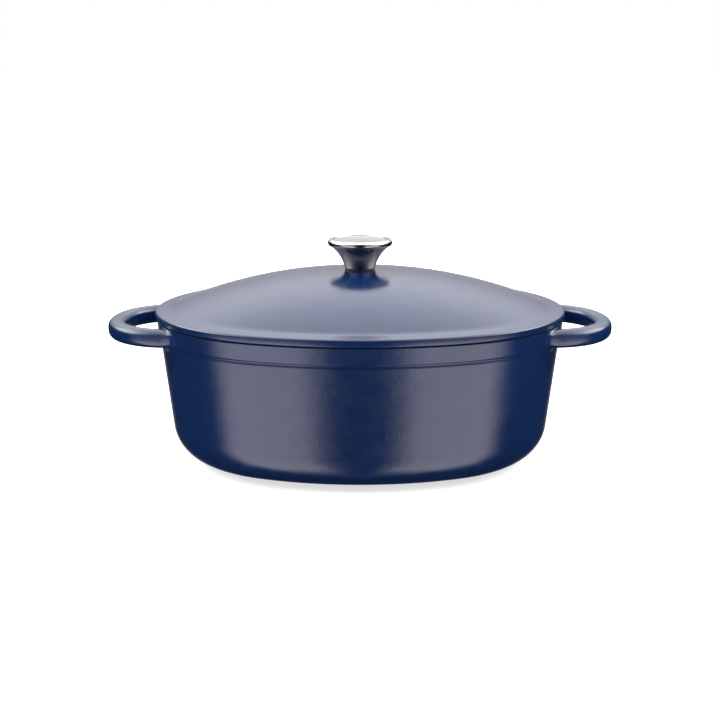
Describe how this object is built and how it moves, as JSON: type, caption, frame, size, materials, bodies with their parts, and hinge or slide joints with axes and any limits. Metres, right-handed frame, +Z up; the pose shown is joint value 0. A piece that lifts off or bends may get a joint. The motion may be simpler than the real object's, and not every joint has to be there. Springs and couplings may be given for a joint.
{
  "type": "oval dutch oven",
  "caption": "Oval cast iron casserole with looped side handles and a domed lift-off lid held by a flared steel knob.",
  "frame": {"origin": "middle of the flat base, on the surface that the pot stands on", "axes": "+X along the oval, towards one handle; +Y across the oval; +Z up through the knob"},
  "size_m": [0.4266, 0.269, 0.1871],
  "materials": {
    "enamel": "navy vitreous enamel with a satin, faintly pebbled surface on cast iron",
    "seat_ring": "matte black",
    "polished_steel": "polished stainless steel",
    "satin_steel": "satin stainless steel, brushed in circles",
    "zinc_steel": "plain zinc-plated steel"
  },
  "bodies": {
    "pot": {"pot_body": "enamel"},
    "lid": {"lid": "enamel", "knob_seat_ring": "seat_ring", "knob_shell": "polished_steel", "knob_cap": "satin_steel", "knob_insert": "zinc_steel", "knob_screw": "zinc_steel", "spring_washer": "zinc_steel", "flat_washer": "zinc_steel"}
  },
  "joints": [
    {"name": "lid_lift", "type": "slide", "parent": "pot", "child": "lid", "axis": [0, 0, 1], "range_m": [0, 0.15]}
  ]
}
